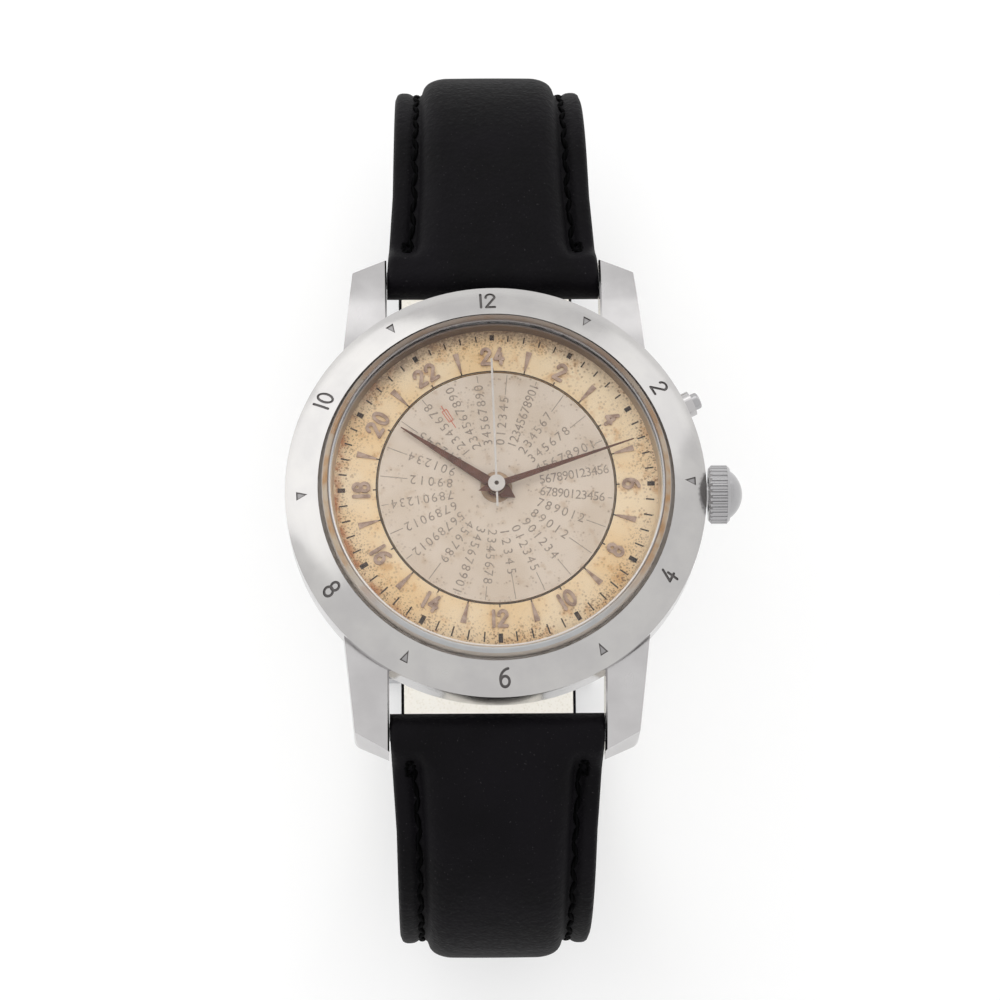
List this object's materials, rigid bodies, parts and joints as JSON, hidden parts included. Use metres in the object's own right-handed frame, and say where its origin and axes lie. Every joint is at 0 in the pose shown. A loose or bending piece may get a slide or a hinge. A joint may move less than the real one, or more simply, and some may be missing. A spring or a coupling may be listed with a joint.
{
  "type": "world time watch",
  "caption": "Round wristwatch with an engraved bezel, a 24-hour dial ring, a turning world disc, a pull-out crown, a side pusher and a buckled padded strap.",
  "frame": {"origin": "centre of the case back's flat outer face, on the axis of the hands", "axes": "+X towards three o'clock and the crown, +Y towards twelve o'clock, +Z out of the dial"},
  "size_m": [0.0391, 0.0795, 0.0463],
  "materials": {
    "polished_steel": "polished stainless steel",
    "brushed_back": "fine brushed steel",
    "acrylic": "clear polished acrylic",
    "seal": "black sealing rubber",
    "dial_cream": "aged cream lacquer with patina",
    "disc_grey": "aged grey-beige lacquer",
    "applied_taupe": "tarnished applied metal",
    "hand_copper": "darkened copper",
    "hand_silver": "satin silver",
    "plated_brass": "rose-gilt plate",
    "wheel_brass": "gilt brass",
    "movement_steel": "polished hardened steel",
    "spring_steel": "blued spring steel",
    "ruby": "red synthetic ruby",
    "black_leather": "fine-grained black leather",
    "lining_leather": "smooth dark lining leather",
    "buckle_steel": "polished steel"
  },
  "bodies": {
    "watch_head": {"case_middle": "polished_steel", "bezel": "polished_steel", "crystal": "acrylic", "tension_ring": "polished_steel", "case_back": "brushed_back", "case_back_gasket": "seal", "crown_tube": "polished_steel", "pusher_tube": "polished_steel", "pusher_spring": "spring_steel", "spring_bars": "brushed_back", "dial": "dial_cream", "hour_numerals": "applied_taupe", "hour_wedges": "applied_taupe", "movement_holder": "brushed_back", "casing_clamps": "brushed_back", "movement_screws": "movement_steel", "main_plate": "plated_brass", "barrel_bridge": "plated_brass", "train_bridge": "plated_brass", "balance_cock": "plated_brass", "pallet_bridge": "plated_brass", "jewels": "ruby", "hairspring": "spring_steel", "strap_short_upper": "black_leather", "strap_short_lining": "lining_leather", "strap_long_upper": "black_leather", "strap_long_lining": "lining_leather", "fixed_keeper": "black_leather"},
    "minute_group": {"cannon_pinion": "movement_steel", "minute_hand": "hand_copper"},
    "minute_wheel_group": {"minute_wheel": "wheel_brass"},
    "hour_group": {"hour_wheel": "wheel_brass", "hour_hand": "hand_copper"},
    "world_group": {"disc_wheel": "wheel_brass", "world_disc": "disc_grey"},
    "great_group": {"great_wheel": "wheel_brass"},
    "third_group": {"third_wheel": "wheel_brass"},
    "seconds_group": {"fourth_wheel": "wheel_brass", "seconds_hand": "hand_silver"},
    "escape_group": {"escape_wheel": "movement_steel"},
    "barrel_group": {"mainspring_barrel": "wheel_brass", "mainspring": "spring_steel"},
    "winding_pinion_group": {"winding_pinion": "movement_steel"},
    "crown_group": {"crown": "polished_steel", "winding_stem": "movement_steel"},
    "clutch_group": {"clutch_wheel": "movement_steel"},
    "crown_wheel_group": {"crown_wheel": "movement_steel"},
    "ratchet_group": {"ratchet_wheel": "movement_steel", "barrel_arbor": "movement_steel"},
    "setting_lever_group": {"setting_lever": "movement_steel"},
    "yoke_group": {"yoke": "movement_steel"},
    "click_group": {"click": "movement_steel"},
    "balance_group": {"balance_wheel": "wheel_brass"},
    "fork_group": {"pallet_fork": "movement_steel"},
    "pusher_group": {"pusher_button": "polished_steel"},
    "corrector_group": {"corrector_lever": "brushed_back"},
    "buckle_group": {"buckle_frame": "buckle_steel", "buckle_bar": "buckle_steel"},
    "prong_group": {"buckle_prong": "buckle_steel"},
    "free_keeper_group": {"free_keeper": "black_leather"}
  },
  "joints": [
    {"name": "minute_turn", "type": "hinge", "parent": "watch_head", "child": "minute_group", "pos_m": [0, 0, 0.0065], "axis": [0, 0, -1], "continuous": true},
    {"name": "minute_wheel_turn", "type": "hinge", "parent": "watch_head", "child": "minute_wheel_group", "pos_m": [0.0016, 0.00349, 0.0065], "axis": [0, 0, -1], "continuous": true},
    {"name": "hour_turn", "type": "hinge", "parent": "watch_head", "child": "hour_group", "pos_m": [0, 0, 0.0069], "axis": [0, 0, -1], "continuous": true},
    {"name": "world_disc_turn", "type": "hinge", "parent": "watch_head", "child": "world_group", "pos_m": [0, 0, 0.0077], "axis": [0, 0, -1], "continuous": true},
    {"name": "great_wheel_turn", "type": "hinge", "parent": "watch_head", "child": "great_group", "pos_m": [-0.0022, 0.00295, 0.0045], "axis": [0, 0, -1], "continuous": true},
    {"name": "third_wheel_turn", "type": "hinge", "parent": "watch_head", "child": "third_group", "pos_m": [-0.00359, -0.00037, 0.0045], "axis": [0, 0, -1], "continuous": true},
    {"name": "seconds_turn", "type": "hinge", "parent": "watch_head", "child": "seconds_group", "pos_m": [0, 0, 0.0045], "axis": [0, 0, -1], "continuous": true},
    {"name": "escape_wheel_turn", "type": "hinge", "parent": "watch_head", "child": "escape_group", "pos_m": [0.00091, -0.0034, 0.0045], "axis": [0, 0, -1], "continuous": true},
    {"name": "barrel_turn", "type": "hinge", "parent": "watch_head", "child": "barrel_group", "pos_m": [0.00275, 0.00586, 0.0045], "axis": [0, 0, -1], "continuous": true},
    {"name": "crown_turn", "type": "hinge", "parent": "watch_head", "child": "winding_pinion_group", "pos_m": [0.0085, 0, 0.0049], "axis": [1, 0, 0], "continuous": true},
    {"name": "crown_pull", "type": "slide", "parent": "winding_pinion_group", "child": "crown_group", "axis": [1, 0, 0], "range_m": [0, 0.001]},
    {"name": "clutch_slide", "type": "slide", "parent": "winding_pinion_group", "child": "clutch_group", "axis": [-1, 0, 0], "range_m": [0, 0.0005]},
    {"name": "crown_wheel_turn", "type": "hinge", "parent": "watch_head", "child": "crown_wheel_group", "pos_m": [0.0062, 0, 0.0024], "axis": [0, 0, 1], "continuous": true},
    {"name": "ratchet_turn", "type": "hinge", "parent": "watch_head", "child": "ratchet_group", "pos_m": [0.00275, 0.00586, 0.0024], "axis": [0, 0, 1], "continuous": true},
    {"name": "setting_lever_swing", "type": "hinge", "parent": "watch_head", "child": "setting_lever_group", "pos_m": [0.0102, 0.003, 0.0059], "axis": [0, 0, 1], "range_deg": [0, 19.2]},
    {"name": "yoke_swing", "type": "hinge", "parent": "watch_head", "child": "yoke_group", "pos_m": [0.00645, -0.0034, 0.0059], "axis": [0, 0, 1], "range_deg": [0, 8.5]},
    {"name": "click_swing", "type": "hinge", "parent": "watch_head", "child": "click_group", "pos_m": [0.00506, 0.01021, 0.0024], "axis": [0, 0, 1], "range_deg": [-6, 0], "stiffness_Nm_per_rad": 0.0005},
    {"name": "balance_swing", "type": "hinge", "parent": "watch_head", "child": "balance_group", "pos_m": [0.00611, -0.00575, 0.0045], "axis": [0, 0, 1], "range_deg": [-270, 270], "stiffness_Nm_per_rad": 0.00001, "deforming": ["hairspring"]},
    {"name": "pallet_fork_swing", "type": "hinge", "parent": "watch_head", "child": "fork_group", "pos_m": [0.00342, -0.00453, 0.0045], "axis": [0, 0, 1], "range_deg": [-5, 5]},
    {"name": "pusher_press", "type": "slide", "parent": "watch_head", "child": "pusher_group", "axis": [-0.9018, -0.4321, 0], "range_m": [0, 0.0005], "stiffness_N_per_m": 1500, "deforming": ["pusher_spring"]},
    {"name": "corrector_swing", "type": "hinge", "parent": "watch_head", "child": "corrector_group", "pos_m": [0.00745, 0.00954, 0.0049], "axis": [0, 0, -1], "range_deg": [0, 5]},
    {"name": "buckle_swing", "type": "hinge", "parent": "watch_head", "child": "buckle_group", "pos_m": [0, 0.002, -0.03019], "axis": [1, 0, 0], "range_deg": [0, 5]},
    {"name": "prong_swing", "type": "hinge", "parent": "buckle_group", "child": "prong_group", "pos_m": [0, 0.002, -0.03019], "axis": [1, 0, 0], "range_deg": [0, 5]},
    {"name": "free_keeper_slide", "type": "slide", "parent": "watch_head", "child": "free_keeper_group", "axis": [0, 1, 0], "range_m": [-0.0012, 0.0012]}
  ],
  "couplings": [
    {"joint": "minute_wheel_turn", "follows": "minute_turn", "ratio": -0.33333},
    {"joint": "hour_turn", "follows": "minute_turn", "ratio": 0.083333},
    {"joint": "world_disc_turn", "follows": "minute_turn", "ratio": 0.041667},
    {"joint": "great_wheel_turn", "follows": "minute_turn", "ratio": 1},
    {"joint": "third_wheel_turn", "follows": "minute_turn", "ratio": -8},
    {"joint": "seconds_turn", "follows": "minute_turn", "ratio": 60},
    {"joint": "escape_wheel_turn", "follows": "minute_turn", "ratio": -600},
    {"joint": "barrel_turn", "follows": "minute_turn", "ratio": -0.13889},
    {"joint": "clutch_slide", "follows": "crown_pull", "ratio": 0.5},
    {"joint": "crown_wheel_turn", "follows": "crown_turn", "ratio": 0.5},
    {"joint": "ratchet_turn", "follows": "crown_turn", "ratio": -0.30952},
    {"joint": "setting_lever_swing", "follows": "crown_pull", "rad_per_m": 333.33},
    {"joint": "yoke_swing", "follows": "crown_pull", "rad_per_m": 147.06},
    {"joint": "corrector_swing", "follows": "pusher_press", "rad_per_m": 170}
  ]
}
